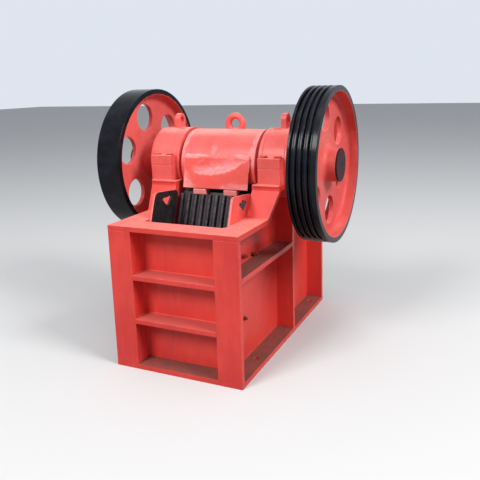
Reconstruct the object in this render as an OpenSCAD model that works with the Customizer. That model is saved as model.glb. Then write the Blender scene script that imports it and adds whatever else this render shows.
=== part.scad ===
// Jaw crusher with one fixed jaw and one swing jaw that hangs on an eccentric shaft.
// The front faces -Y, the belt pulley is on +X and the machine stands on Z = 0.
// The origin lies under the middle of the machine's whole length, tension rod included.

/* [Frame] */
// Length of the frame from its front posts to its rear posts
frame_l = 1210; // [1180:5:1300]
// Width across the outer faces of the two side walls
walls_w = 490; // [470:5:540]
// Thickness of the side walls
wall_t = 25; // [20:1:28]
// How far posts, ribs and flanges stand out from the side walls
flange_w = 100; // [85:5:120]
// Height of the upper face of the top plate
frame_h = 720; // [700:5:760]
// Thickness of the frame's plates, posts and ribs
plate_t = 25; // [18:1:30]
// How far the front wall lies behind the faces of the front posts
front_recess = 97; // [80:1:110]
// Height of the lower front and rear ribs
rib_z1 = 236; // [220:1:245]
// Height of the upper front and rear ribs
rib_z2 = 457; // [440:1:470]
// Height of the ribs on the side walls
side_rib_z = 496; // [480:1:520]
// Height of the side walls at the rear
rear_h = 640; // [600:5:700]
// Corner radius at the front of the feed opening
mouth_r = 22; // [10:1:25]

/* [Foundation bolts] */
// Diameter of the foundation bolt holes
anchor_d = 28; // [20:1:34]
// Distance between foundation bolts across the machine
anchor_w = 590; // [560:5:620]
// Distance between the outer foundation bolts along the machine
anchor_l = 834; // [780:2:880]
// Distance from the rear foundation bolts to the rear posts' faces
anchor_rear = 109; // [80:1:140]

/* [Shaft and bearings] */
// Distance from the front posts' faces to the shaft axis
shaft_y = 671; // [650:1:700]
// Height of the shaft axis
shaft_z = 948; // [930:1:980]
// Eccentricity of the journal that carries the swing jaw
throw = 10; // [6:1:12]
// Diameter of the shaft in its frame bearings
journal_d = 110; // [90:1:120]
// Diameter of the shaft in the wheel hubs
hub_seat_d = 100; // [80:1:104]
// Diameter of the eccentric journal
eccentric_d = 150; // [146:1:160]
// Outer diameter of the frame bearings
bearing_d = 240; // [200:2:260]
// Width of the frame bearings
bearing_w = 90; // [70:1:100]
// Distance from the side walls' inner planes to the bearing blocks
block_gap = 30; // [26:1:34]
// How far a bearing block reaches past the flanges at each side
block_over = 24; // [15:1:28]
// Length of a bearing block along the machine
block_l = 466; // [440:2:476]
// Height of a bearing block's foot below the shaft axis
block_drop = 83; // [75:1:90]
// Outer radius of a bearing cap
cap_r = 183; // [175:1:188]
// Height of the cap's bolting flanges above the shaft axis
cap_flange_h = 52; // [40:1:60]
// How far the seat plate reaches past the bearing block at each end
seat_margin = 6; // [4:1:20]
// Distance from the front posts' faces to the foot of the sloping flange
slope_y = 345; // [330:1:360]
// Distance from the side walls' inner planes to the labyrinth rings
ring_gap = 10; // [4:1:16]
// Thickness of the outer bearing covers
cover_t = 36; // [20:1:38]

/* [Lifting lugs] */
// Thickness of a lifting lug
lug_t = 30; // [20:1:36]
// Radius of a lug's round top
lug_r = 35; // [30:1:40]
// Diameter of a lug's hole
lug_hole_d = 36; // [28:1:40]
// Height of a lug's hole above the cap
lug_h = 42; // [40:1:50]
// Distance from a lug to the outer face of its cap
lug_in = 38; // [30:1:46]

/* [Wheels] */
// Outer diameter of flywheel and pulley
wheel_d = 790; // [740:2:800]
// Width of the rims
rim_w = 142; // [130:1:160]
// Thickness of the rims
rim_t = 29; // [18:1:34]
// Gap between the flanges and the rims
wheel_gap = 115; // [110:1:130]
// Thickness of the wheels' webs
web_t = 26; // [20:1:32]
// How far the webs lie nearer to the frame than the rims' middle
web_back = 6; // [0:1:10]
// Radius of the hub
hub_r = 86; // [80:1:95]
// Radius of the fillet between hub and web
hub_fillet = 28; // [20:1:42]
// Radius of the fillet between rim and web
rim_fillet = 24; // [15:1:28]
// Length of the hub on the inner side of the rim
hub_tail = 42; // [30:1:45]
// Number of lightening holes
hole_n = 6; // [4:1:6]
// Diameter of the lightening holes
hole_d = 150; // [110:2:154]
// Radius of the circle of lightening holes
hole_circle_r = 246; // [235:1:255]
// Number of belt grooves
groove_n = 4; // [2:1:5]
// Pitch of the belt grooves
groove_pitch = 29; // [26:1:29]
// Depth of the belt grooves
groove_h = 15; // [10:1:17]
// Width of a belt groove at the rim's face
groove_w = 18; // [14:1:20]
// Distance from the rim's inner edge to the first groove's middle
groove_edge = 21; // [18:1:26]
// Thickness of the end discs that hold the wheels on the shaft
end_disc_t = 9; // [6:1:16]

/* [Chamber] */
// Thickness of the cheek plates
cheek_t = 12; // [10:1:22]
// Thickness of the fixed jaw plate over its teeth
fixed_jaw_t = 50; // [40:1:60]
// Thickness of the swing jaw plate over its teeth
swing_jaw_t = 48; // [40:1:56]
// Depth of the jaw plates' teeth
tooth_h = 14; // [8:1:18]
// Number of teeth on the swing jaw plate
tooth_n = 10; // [8:1:12]
// Gap between jaw plates and cheek plates
jaw_side_gap = 5; // [5:1:8]
// Height of the jaw plates' lower ends
jaw_z0 = 235; // [220:1:250]
// Depth of the swing jaw plate's upper end below the shaft axis
jaw_top_drop = 142; // [133:1:158]
// Gap between the jaw plates at the discharge
discharge_gap = 40; // [30:1:60]
// How far the swing jaw plate's upper end lies in front of the shaft axis
jaw_top_out = 237; // [224:1:249]
// Height of the cheek plates' front corner above the swing jaw plate's upper end
cheek_rise = 39; // [28:1:46]
// Radius of the cheek plates' upper corners
cheek_r = 26; // [10:1:30]
// Distance from the front wall's inner face to a cheek plate's front edge at the top plate
cheek_front = 46; // [30:1:60]
// How far a cheek plate's front edge leans back above the top plate
cheek_lean = 52; // [40:1:60]
// Fall of a cheek plate's upper edge towards the rear
cheek_fall = 23; // [15:1:40]
// How far a cheek plate reaches behind the swing jaw plate's face
cheek_back = 2; // [0:1:48]
// Distance from the front wall's inner face to a cheek plate's lifting hole
cheek_hole_y = 204; // [190:1:212]
// Distance from a cheek plate's front corner down to its lifting hole
cheek_hole_drop = 63; // [55:1:72]

/* [Swing jaw] */
// Radius of the swing jaw's head
head_r = 185; // [178:1:188]
// Gap between the head and the side walls' inner planes
head_gap = 8; // [7:1:9]
// Thickness of the slab behind the swing jaw plate
slab_t = 70; // [50:1:80]
// Thickness of the ribs on the back of the swing jaw
pitman_rib_t = 30; // [20:1:36]
// Length of the swing jaw's foot behind its slab
foot_l = 60; // [50:1:70]
// Half height of the swing jaw's foot
foot_half = 60; // [50:1:62]
// Height of the foot's middle above the jaw plates' lower ends
foot_rise = 65; // [62:1:75]
// Thickness of the guard over the head
guard_t = 8; // [6:1:10]
// Half width of the guard
guard_half = 187; // [170:1:190]
// How far the guard's lower edge lies in front of the shaft axis
guard_out = 221; // [215:1:235]
// How far the guard's lower edge lies below the shaft axis
guard_low = 116; // [110:1:118]
// Width of the two clamp blocks above the swing jaw plate
clamp_w = 76; // [50:1:84]
// Distance of the two clamp blocks from the middle
clamp_x = 89; // [70:1:100]
// Wire radius of the head's lifting ring
eye_wire_r = 18; // [14:1:20]
// Middle radius of the head's lifting ring
eye_r = 42; // [40:1:48]

/* [Toggle and tension rod] */
// Thickness of the toggle plate
toggle_t = 30; // [22:1:36]
// Half width of the toggle plate
toggle_half = 170; // [150:1:185]
// Diameter of the tension rod
rod_d = 32; // [24:1:40]
// Height of the tension rod's axis
rod_z = 150; // [140:1:160]
// How far the tension rod stands out behind the frame
rod_out = 110; // [100:5:140]
// Outer diameter of the tension spring
spring_d = 96; // [80:1:110]
// Wire diameter of the tension spring
spring_wire = 14; // [10:1:16]
// Length of the compressed tension spring
spring_l = 150; // [140:1:160]
// Length of the toggle seat block along the machine
seat_block_l = 80; // [60:1:100]
// Half height of the toggle seat block
seat_block_half = 55; // [45:1:70]
// Height of the lower face of the beam behind the toggle seat
beam_z0 = 320; // [300:1:340]
// Height of the beam behind the toggle seat
beam_h = 180; // [150:1:200]
// Depth of the beam behind the toggle seat
beam_l = 130; // [100:1:150]

/* [Hidden] */
$fn = 96;

overall_l = frame_l + rod_out;
wall_out = walls_w / 2;
wall_in = wall_out - wall_t;
flange_x = wall_out + flange_w;
deck_z = frame_h - plate_t;
feed_y = front_recess + plate_t;
anchor_mid_y = frame_l - anchor_rear - anchor_l / 2;
running_gap = 0.05;
moving_gap = 5;
cut = 1;
rear_slope_run = 80;

// Bearing block and its seat
block_in = wall_in + block_gap;
block_out = flange_x + block_over;
block_w = block_out - block_in;
ring_in = wall_in + ring_gap;
seat_z = shaft_z - block_drop;
seat_l = block_l + 2 * seat_margin;
seat_y0 = shaft_y - seat_l / 2;
slope_a = atan2(seat_z - plate_t - frame_h, seat_y0 - slope_y);
slope_run = plate_t / sin(slope_a);
head_half = wall_in - head_gap;
lug_root = 10;
bearing_x = block_in + block_w / 2;

// Wheels
rim_x0 = flange_x + wheel_gap;
rim_x1 = rim_x0 + rim_w;
rim_in = wheel_d / 2 - rim_t;
web_x0 = rim_x0 + (rim_w - web_t) / 2 - web_back;
web_x1 = web_x0 + web_t;
disc_margin = 1;
hub_x0 = rim_x0 - hub_tail;
wheel_r = wheel_d / 2;
flywheel_turn = 43;
pulley_turn = 39;
groove_a = 17;

// Crushing chamber
cheek_in = wall_in - cheek_t;
jaw_half = cheek_in - jaw_side_gap;
fixed_face_y = feed_y + fixed_jaw_t;
swing_y0 = fixed_face_y + discharge_gap;
jaw_z1 = shaft_z - jaw_top_drop;
mouth_gap = shaft_y - jaw_top_out - fixed_face_y;
cheek_z1 = jaw_z1 + cheek_rise;
jaw_rise = jaw_z1 - jaw_z0;
jaw_run = mouth_gap - discharge_gap;
jaw_a = atan2(jaw_run, jaw_rise);
jaw_len = norm([jaw_run, jaw_rise]);
tooth_p = 2 * jaw_half / tooth_n;
function swing_face_y(z) = swing_y0 + (z - jaw_z0) * tan(jaw_a);
plate_run = swing_jaw_t / cos(jaw_a);
slab_half = jaw_half - 3;
eye_back = 57;
eye_sink = 18;
guard_a0 = 163;
guard_gap = 0.4;
clamp_drop = 4;

// Eccentric at rest: its throw points down, where the hanging jaw brings it
axis_y = shaft_y;
axis_z = shaft_z - throw;
guard_y = shaft_y - guard_out;
guard_z = shaft_z - guard_low;

// Rear wall, toggle and tension rod. The jaw's rest place is the lowest of its circle, so what
// the frame carries is centred one throw above what the jaw carries
rear_y = frame_l - front_recess;
toggle_z1 = beam_z0 + beam_h / 2;
toggle_y1 = rear_y - plate_t - beam_l - seat_block_l;
foot_z = jaw_z0 + foot_rise;
function plate_back_y(z) = swing_face_y(z) + plate_run + running_gap;
foot_y = plate_back_y(foot_z) + slab_t + foot_l;
toggle_y0 = foot_y + throw + moving_gap;
toggle_z0 = foot_z + throw;
toggle_a = atan2(toggle_z1 - toggle_z0, toggle_y1 - toggle_y0);
toggle_len = norm([toggle_z1 - toggle_z0, toggle_y1 - toggle_y0]);
toggle_waist = 3;
seat_side = 15;
pin_d = 24;
pin_y = foot_y - foot_l;
pin_z = rod_z - throw;
pin_eye_r = pin_d / 2 + throw + moving_gap;
eye_half = 12;
eye_wall = 13;
lug_plate_t = 20;
rod_hole_gap = 6;
spring_y1 = rear_y + spring_l;
washer_t = 10;
washer_over = 5;

// Rear edge of the swing jaw's ribs: an arc from the head down to the foot
rib_top_a = -40;
rib_sag = 40;
pitman_rib_n = 4;
rib_top = [axis_y + head_r * cos(rib_top_a), axis_z + head_r * sin(rib_top_a)];
rib_foot = [foot_y, foot_z + foot_half];
rib_chord = norm(rib_top - rib_foot);
rib_arc_r = (rib_chord ^ 2 / 4 + rib_sag ^ 2) / (2 * rib_sag);
rib_back = [(rib_top[1] - rib_foot[1]) / rib_chord, -(rib_top[0] - rib_foot[0]) / rib_chord];
rib_mid = (rib_top + rib_foot) / 2;
rib_centre = rib_mid + (rib_arc_r - rib_sag) * rib_back;

// Places a sub-part that is drawn from the front posts' faces backwards
module placed() translate([0, -overall_l / 2, 0]) children();

// Mirrors a right-hand sub-part for the left side
module on_side(right) if (right) children(); else mirror([1, 0, 0]) children();

// Extrudes an outline drawn in Y and Z along X, from x0 over a width
module across(x0, width) translate([x0, 0, 0]) rotate([90, 0, 90]) linear_extrude(width) children();

// Extrudes an outline symmetrically about the machine's middle plane
module across_middle(half) across(-half, 2 * half) children();

// Round bar or bore along X
module bar_x(x0, x1, r, y = shaft_y, z = shaft_z)
    translate([x0, y, z]) rotate([0, 90, 0]) cylinder(h = x1 - x0, r = r);

// Turned part about the shaft axis, from an outline of radius and X
module turned_x() translate([0, shaft_y, shaft_z]) rotate([0, 90, 0]) rotate_extrude() children();

module box(x0, x1, y0, y1, z0, z1) translate([x0, y0, z0]) cube([x1 - x0, y1 - y0, z1 - z0]);

// Plate ring under the walls, with the foundation bolt holes
module base_frame() placed() color("orangered") difference() {
    box(-flange_x, flange_x, 0, frame_l, 0, plate_t);
    box(-wall_in, wall_in, feed_y, rear_y - plate_t, -cut, plate_t + cut);
    for (x = [-anchor_w / 2, anchor_w / 2], y = [-anchor_l / 2, 0, anchor_l / 2])
        translate([x, anchor_mid_y + y, -cut]) cylinder(h = plate_t + 2 * cut, d = anchor_d);
}

module front_wall() placed() color("orangered")
    box(-wall_in, wall_in, front_recess, feed_y, plate_t, deck_z);

// Two ribs that divide the front into three bays
module front_ribs() placed() color("orangered")
    for (z = [rib_z1, rib_z2]) box(-wall_in, wall_in, 0, front_recess, z, z + plate_t);

module front_post(right) placed() color("orangered") on_side(right)
    box(wall_in, flange_x, 0, plate_t, plate_t, deck_z);
module front_post_left() front_post(false);
module front_post_right() front_post(true);

// Outline of the feed opening, round at its two front corners
module mouth_outline() {
    translate([-wall_in + mouth_r, feed_y]) square([2 * (wall_in - mouth_r), 2 * mouth_r]);
    translate([-wall_in, feed_y + mouth_r]) square([2 * wall_in, frame_l]);
    for (x = [-wall_in + mouth_r, wall_in - mouth_r])
        translate([x, feed_y + mouth_r]) circle(mouth_r);
}

module top_plate() placed() color("orangered")
    translate([0, 0, deck_z]) linear_extrude(plate_t) difference() {
        translate([-flange_x, 0]) square([2 * flange_x, slope_y]);
        mouth_outline();
    }

// Outline of a side wall: level top, slope up to the bearing seat and down to the rear
module wall_outline() polygon([
    [plate_t, plate_t], [frame_l - plate_t, plate_t],
    [frame_l - plate_t, rear_h], [seat_y0 + seat_l + rear_slope_run, rear_h],
    [seat_y0 + seat_l - plate_t, seat_z - plate_t],
    [seat_y0 + slope_run, seat_z - plate_t],
    [slope_y + slope_run - plate_t / tan(slope_a), deck_z], [plate_t, deck_z]
]);

module side_wall(right) placed() color("orangered") on_side(right)
    across(wall_in, wall_t) difference() {
        wall_outline();
        translate([shaft_y, shaft_z]) circle(cap_r);
    }
module side_wall_left() side_wall(false);
module side_wall_right() side_wall(true);

// Stiffeners outside a wall: a level rib at mid height and a post under the bearing
module side_ribs(right) placed() color("orangered") on_side(right) {
    box(wall_out, flange_x, plate_t, shaft_y, side_rib_z, side_rib_z + plate_t);
    difference() {
        box(wall_out, flange_x, shaft_y, shaft_y + plate_t, plate_t, seat_z - plate_t);
        bar_x(wall_out - cut, flange_x + cut, cap_r);
    }
}
module side_ribs_left() side_ribs(false);
module side_ribs_right() side_ribs(true);

// Sloping flange and the seat plate under the bearing block, open round the block's saddle.
// Seen from the front it widens from the top plate's width to the bearing block's
module slope_flange(right) placed() color("orangered") on_side(right) intersection() {
    across(wall_in, block_out - wall_in) difference() {
        polygon([
            [slope_y, deck_z], [slope_y, frame_h], [seat_y0, seat_z - plate_t],
            [seat_y0, seat_z], [seat_y0 + seat_l, seat_z], [seat_y0 + seat_l, seat_z - plate_t],
            [seat_y0 + slope_run, seat_z - plate_t],
            [slope_y + slope_run - plate_t / tan(slope_a), deck_z]
        ]);
        translate([shaft_y, shaft_z]) circle(cap_r);
    }
    translate([0, frame_l, 0]) rotate([90, 0, 0]) linear_extrude(frame_l) polygon([
        [wall_in, deck_z], [flange_x, deck_z], [flange_x, frame_h],
        [block_out, seat_z - plate_t], [block_out, seat_z], [wall_in, seat_z]
    ]);
}
module slope_flange_left() slope_flange(false);
module slope_flange_right() slope_flange(true);

module bearing_bore() bar_x(block_in - cut, block_out + cut, bearing_d / 2 + running_gap);

// Block over a bearing's whole width, between two heights
module housing(z0, z1)
    box(block_in, block_out, shaft_y - block_l / 2, shaft_y + block_l / 2, z0, z1);

// Lower half of the bearing housing: two feet and a half-round saddle let into the seat plate
module bearing_block(right) placed() color("orangered") on_side(right) difference() {
    union() {
        housing(seat_z, shaft_z);
        bar_x(block_in, block_out, cap_r);
    }
    box(block_in - cut, block_out + cut, 0, frame_l, shaft_z, shaft_z + 2 * cap_r);
    bearing_bore();
}
module bearing_block_left() bearing_block(false);
module bearing_block_right() bearing_block(true);

// Upper half of the bearing housing with its bolting flanges and lifting lug
module bearing_cap(right) placed() color("orangered") on_side(right) {
    lug_z = shaft_z + cap_r + lug_h;
    lug_foot = shaft_z + cap_r - lug_root;
    lug_x1 = block_out - lug_in;
    difference() {
        union() {
            intersection() {
                bar_x(block_in, block_out, cap_r);
                box(block_in, block_out, 0, frame_l, shaft_z, shaft_z + cap_r);
            }
            housing(shaft_z, shaft_z + cap_flange_h);
            bar_x(lug_x1 - lug_t, lug_x1, lug_r, shaft_y, lug_z);
            box(lug_x1 - lug_t, lug_x1, shaft_y - lug_r, shaft_y + lug_r, lug_foot, lug_z);
        }
        bearing_bore();
        bar_x(lug_x1 - lug_t - cut, lug_x1 + cut, lug_hole_d / 2, shaft_y, lug_z);
    }
}
module bearing_cap_left() bearing_cap(false);
module bearing_cap_right() bearing_cap(true);

module bearing(right) placed() color("silver") on_side(right)
    translate([bearing_x - bearing_w / 2, 0, 0]) difference() {
        bar_x(0, bearing_w, bearing_d / 2);
        bar_x(-cut, bearing_w + cut, journal_d / 2 + running_gap);
    }
module bearing_left() bearing(false);
module bearing_right() bearing(true);

// Labyrinth ring on the inner face of a bearing housing, let into the side wall
module bearing_ring(right) placed() color("firebrick") on_side(right) difference() {
    bar_x(ring_in, block_in, cap_r);
    bar_x(ring_in - cut, block_in + cut, eccentric_d / 2 + throw + moving_gap);
}
module bearing_ring_left() bearing_ring(false);
module bearing_ring_right() bearing_ring(true);

// Turned cover over the outer end of a bearing
module bearing_cover(right) placed() color("orangered") on_side(right) difference() {
    bar_x(block_out, block_out + cover_t, cap_r);
    bar_x(block_out - cut, block_out + cover_t + cut, journal_d / 2 + cut);
}
module bearing_cover_left() bearing_cover(false);
module bearing_cover_right() bearing_cover(true);

module rear_wall() placed() color("orangered") difference() {
    box(-wall_in, wall_in, rear_y - plate_t, rear_y, plate_t, rear_h);
    translate([0, rear_y - plate_t - cut, rod_z]) rotate([-90, 0, 0])
        cylinder(h = plate_t + 2 * cut, r = rod_d / 2 + rod_hole_gap);
}

module rear_ribs() placed() color("orangered")
    for (z = [rib_z1, rib_z2]) box(-wall_in, wall_in, rear_y, frame_l, z, z + plate_t);

// Ribbed beam on the rear wall's inner face that takes the toggle's thrust
module toggle_beam() placed() color("orangered") {
    y0 = rear_y - plate_t - beam_l;
    beam_z1 = beam_z0 + beam_h;
    box(-wall_in, wall_in, y0, y0 + plate_t, beam_z0, beam_z1);
    for (z = [beam_z0, beam_z1 - plate_t]) box(-wall_in, wall_in, y0, rear_y - plate_t, z, z + plate_t);
    for (k = [1 : 3])
        let (x = -wall_in + k * wall_in / 2 - plate_t / 2)
            box(x, x + plate_t, y0, rear_y - plate_t, beam_z0, beam_z1);
}

module rear_posts() placed() color("orangered")
    for (right = [false, true]) on_side(right)
        box(wall_in, flange_x, frame_l - plate_t, frame_l, plate_t, rear_h);

// Toggle seat block on the beam, with a round groove for the toggle plate
module toggle_seat() placed() color("dimgray") difference() {
    half = toggle_half + seat_side;
    z0 = toggle_z1 - seat_block_half;
    box(-half, half, toggle_y1, toggle_y1 + seat_block_l, z0, z0 + 2 * seat_block_half);
    bar_x(-half - cut, half + cut, toggle_t / 2 + running_gap, toggle_y1, toggle_z1);
}

// Toggle plate with two round edges, between the seat block and the swing jaw's foot
module toggle_plate() placed() color("dimgray") across_middle(toggle_half) {
    translate([toggle_y0, toggle_z0]) circle(toggle_t / 2);
    translate([toggle_y1, toggle_z1]) circle(toggle_t / 2);
    translate([toggle_y0, toggle_z0]) rotate(toggle_a)
        translate([0, toggle_waist - toggle_t / 2]) square([toggle_len, toggle_t - 2 * toggle_waist]);
}

// Tension rod: an eye round the pin under the swing jaw, a long shank and a nut at its rear end
module tension_rod() placed() color("gray") {
    difference() {
        union() {
            bar_x(-eye_half, eye_half, pin_eye_r + eye_wall, pin_y, rod_z);
            translate([0, pin_y, rod_z]) rotate([-90, 0, 0]) cylinder(h = overall_l - pin_y, d = rod_d);
        }
        bar_x(-rod_d, rod_d, pin_eye_r, pin_y, rod_z);
    }
    translate([0, spring_y1, rod_z]) rotate([-90, 0, 0]) {
        cylinder(h = washer_t, r = spring_d / 2 + washer_over);
        translate([0, 0, washer_t]) cylinder(h = rod_d * 0.8, d = rod_d * 1.9, $fn = 6);
    }
}

module tension_spring() placed() color("dimgray")
    translate([0, rear_y, rod_z]) rotate([-90, 0, 0]) difference() {
        cylinder(h = spring_l, d = spring_d);
        translate([0, 0, -cut]) cylinder(h = spring_l + 2 * cut, d = spring_d - 2 * spring_wire);
    }

// Toothed cross-section of a jaw plate: teeth point to -Y, their tips at Y = 0
module tooth_outline(half, t, n, phase) {
    p = 2 * half / n;
    translate([-half, tooth_h]) square([2 * half, t - tooth_h]);
    for (k = [0 : n - 1])
        translate([-half + (k + phase) * p, 0])
            polygon([[p * 0.08, tooth_h], [p * 0.22, 0], [p * 0.58, 0], [p * 0.72, tooth_h]]);
}

module fixed_jaw_plate() placed() color("dimgray")
    translate([0, fixed_face_y, jaw_z0]) mirror([0, 1, 0])
        linear_extrude(deck_z - jaw_z0) tooth_outline(jaw_half, fixed_jaw_t, tooth_n, 0.2);

module on_swing_face() translate([0, swing_y0, jaw_z0]) rotate([-jaw_a, 0, 0]) children();

module swing_jaw_plate() placed() color("dimgray") on_swing_face()
    linear_extrude(jaw_len) tooth_outline(jaw_half, swing_jaw_t, tooth_n, 0.1);

// Cheek plate outline: its front edge leans back above the top plate
module cheek_outline() {
    front = feed_y + jaw_side_gap;
    foot = jaw_z0 + plate_t / 2;
    rear_z = cheek_z1 - cheek_fall;
    offset(r = cheek_r, $fn = 32) offset(delta = -cheek_r) polygon([
        [front, foot], [front, deck_z - 2 * plate_t],
        [feed_y + cheek_front, frame_h - plate_t / 2],
        [feed_y + cheek_front + cheek_lean, cheek_z1],
        [swing_face_y(rear_z) + cheek_back, rear_z], [swing_face_y(foot) + cheek_back, foot]
    ]);
}

// Lifting hole of a cheek plate: a shield with a level top and a round foot
module shield_hole() {
    top_half = 36;
    rise = 14;
    corner_r = 5;
    foot_r = 16;
    hull() {
        for (y = [-top_half, top_half]) translate([y, rise]) circle(corner_r, $fn = 24);
        translate([0, rise - foot_r - 4]) circle(foot_r, $fn = 32);
    }
}

module cheek_plate(right) placed() color("darkslategray") on_side(right) across(cheek_in, cheek_t)
    difference() {
        cheek_outline();
        translate([feed_y + cheek_hole_y, cheek_z1 - cheek_hole_drop]) shield_hole();
    }
module cheek_plate_left() cheek_plate(false);
module cheek_plate_right() cheek_plate(true);

module eccentric_shaft() placed() color("silver") {
    bar_x(-head_half, head_half, eccentric_d / 2, axis_y, axis_z);
    for (right = [false, true]) on_side(right) {
        bar_x(head_half - cut, hub_x0, journal_d / 2);
        bar_x(hub_x0 - cut, rim_x1, hub_seat_d / 2);
    }
}

// Filling of an inner corner at the origin, with the radius r; open towards +X and +Y
module fillet(r) difference() {
    translate([-cut, -cut]) square(r + cut);
    translate([r, r]) circle(r);
}

// Outline of a wheel in radius and X: rim, web and hub with round transitions
module wheel_outline() {
    bore_r = hub_seat_d / 2 + running_gap;
    translate([rim_in, rim_x0]) square([rim_t, rim_w]);
    translate([bore_r, web_x0]) square([rim_in + cut - bore_r, web_t]);
    translate([bore_r, hub_x0]) square([hub_r - bore_r, rim_x1 - hub_x0]);
    translate([hub_r, web_x1]) fillet(hub_fillet);
    translate([hub_r, web_x0]) mirror([0, 1]) fillet(hub_fillet);
    translate([rim_in, web_x1]) mirror([1, 0]) fillet(rim_fillet);
    translate([rim_in, web_x0]) mirror([1, 0]) mirror([0, 1]) fillet(rim_fillet);
}

module wheel_holes(turn)
    for (k = [0 : hole_n - 1])
        let (a = turn + k * 360 / hole_n)
            bar_x(rim_x0, rim_x1, hole_d / 2,
                shaft_y + hole_circle_r * cos(a), shaft_z + hole_circle_r * sin(a));

module flywheel() placed() color("darkslategray") mirror([1, 0, 0]) difference() {
    turned_x() wheel_outline();
    wheel_holes(flywheel_turn);
}

module drive_pulley() placed() color("darkslategray") difference() {
    turned_x() difference() {
        wheel_outline();
        half = groove_w / 2;
        foot = half - groove_h * tan(groove_a);
        for (k = [0 : groove_n - 1])
            translate([wheel_r, rim_x0 + groove_edge + k * groove_pitch])
                polygon([
                    [cut, -half], [cut, half], [0, half],
                    [-groove_h, foot], [-groove_h, -foot], [0, -half]
                ]);
    }
    wheel_holes(pulley_turn);
}

module end_disc(right) placed() color("dimgray") on_side(right)
    bar_x(rim_x1, rim_x1 + end_disc_t, hub_r - disc_margin);
module end_disc_left() end_disc(false);
module end_disc_right() end_disc(true);

// Side view of the swing jaw's slab, which runs up into the head, and of its foot
module slab_outline() {
    polygon([
        [plate_back_y(jaw_z0), jaw_z0], [plate_back_y(jaw_z1), jaw_z1], [axis_y, axis_z],
        [plate_back_y(jaw_z1) + slab_t, jaw_z1], [plate_back_y(jaw_z0) + slab_t, jaw_z0]
    ]);
    polygon([
        [plate_back_y(foot_z - foot_half), foot_z - foot_half], [foot_y, foot_z - foot_half],
        rib_foot, [plate_back_y(foot_z + foot_half), foot_z + foot_half]
    ]);
}

// Side view of a rib on the swing jaw's back, with its hollow rear edge
module pitman_rib_outline() difference() {
    polygon([[plate_back_y(foot_z) + slab_t / 2, foot_z], [axis_y, axis_z], rib_top, rib_foot]);
    translate(rib_centre) circle(rib_arc_r, $fn = 180);
}

// Swing jaw casting: head on the eccentric, slab behind the jaw plate, ribs, foot and pin lugs
module swing_jaw() placed() color("orangered") difference() {
    union() {
        bar_x(-head_half, head_half, head_r, axis_y, axis_z);
        across_middle(slab_half) slab_outline();
        for (k = [0 : pitman_rib_n - 1])
            across(-slab_half + k * (2 * slab_half - pitman_rib_t) / (pitman_rib_n - 1), pitman_rib_t)
                pitman_rib_outline();
        let (y = plate_back_y(rib_mid[1]) + slab_t / 2)
            across_middle(slab_half) translate([y, rib_mid[1]])
                square([rib_mid[0] - 1.6 * rib_sag - y, pitman_rib_t]);
        for (right = [false, true]) on_side(right) across(eye_half + moving_gap, lug_plate_t) {
            translate([pin_y, pin_z]) circle(pin_d);
            translate([pin_y - pin_d, pin_z]) square([2 * pin_d, foot_z - foot_half + cut - pin_z]);
        }
        bar_x(-eye_half - moving_gap - cut, eye_half + moving_gap + cut, pin_d / 2, pin_y, pin_z);
    }
    bar_x(-head_half - cut, head_half + cut, eccentric_d / 2 + running_gap, axis_y, axis_z);
    bar_x(-slab_half - cut, slab_half + cut, toggle_t / 2 + throw + moving_gap, toggle_y0, foot_z);
}

// Outline of the guard sheet: laid on the head's front, then straight down over the jaw plate's top
module guard_outline() {
    function at(r, a) = [axis_y + r * cos(a), axis_z + r * sin(a)];
    r_in = head_r + guard_gap;
    r_out = r_in + guard_t;
    tip = [guard_y - axis_y, guard_z - axis_z];
    a1 = 360 + atan2(tip[1], tip[0]) - acos(r_out / norm(tip));
    bends = 6;
    angles = [for (k = [0 : bends]) guard_a0 + (a1 - guard_a0) * k / bends];
    skin = guard_t * [cos(a1), sin(a1)];
    polygon(concat(
        [for (k = [0 : bends]) at(r_out, angles[k])],
        [[guard_y, guard_z], [guard_y, guard_z] - skin],
        [for (k = [bends : -1 : 0]) at(r_in, angles[k])]
    ));
}
module head_guard() placed() color("orangered") across_middle(guard_half) guard_outline();

// Two wedges that hold the jaw plate's upper end down, in the corner between it and the head
module jaw_clamps() placed() color("orangered") {
    end_run = swing_jaw_t * cos(jaw_a);
    end_fall = swing_jaw_t * sin(jaw_a);
    front = guard_y - swing_face_y(jaw_z1);
    top = guard_z - clamp_drop;
    back = (axis_y - plate_back_y(jaw_z1)) * (top - jaw_z1) / (axis_z - jaw_z1);
    for (x = [-clamp_x, clamp_x])
        across(x - clamp_w / 2, clamp_w) translate([0, running_gap]) polygon([
            [guard_y, jaw_z1 - front * tan(jaw_a)],
            [swing_face_y(jaw_z1) + end_run, jaw_z1 - end_fall],
            [plate_back_y(jaw_z1), jaw_z1], [plate_back_y(jaw_z1) + back, top], [guard_y, top]
        ]);
}

// Forged lifting ring welded on top of the head
module lifting_ring() placed() color("orangered") difference() {
    translate([0, axis_y + eye_back, axis_z + head_r + eye_r - eye_sink]) rotate([90, 0, 0])
        rotate_extrude() translate([eye_r, 0]) circle(eye_wire_r);
    bar_x(-2 * eye_r, 2 * eye_r, head_r + running_gap, axis_y, axis_z);
}

base_frame();
front_wall();
front_ribs();
front_post_left();
front_post_right();
top_plate();
side_wall_left();
side_wall_right();
side_ribs_left();
side_ribs_right();
slope_flange_left();
slope_flange_right();
bearing_block_left();
bearing_block_right();
bearing_cap_left();
bearing_cap_right();
bearing_left();
bearing_right();
bearing_ring_left();
bearing_ring_right();
bearing_cover_left();
bearing_cover_right();
rear_wall();
rear_ribs();
rear_posts();
toggle_beam();
toggle_seat();
toggle_plate();
tension_rod();
tension_spring();
fixed_jaw_plate();
cheek_plate_left();
cheek_plate_right();
eccentric_shaft();
flywheel();
drive_pulley();
end_disc_left();
end_disc_right();
swing_jaw();
swing_jaw_plate();
jaw_clamps();
head_guard();
lifting_ring();
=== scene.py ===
import math

import bmesh
import bpy
import numpy as np
from mathutils import Matrix, Vector


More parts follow.
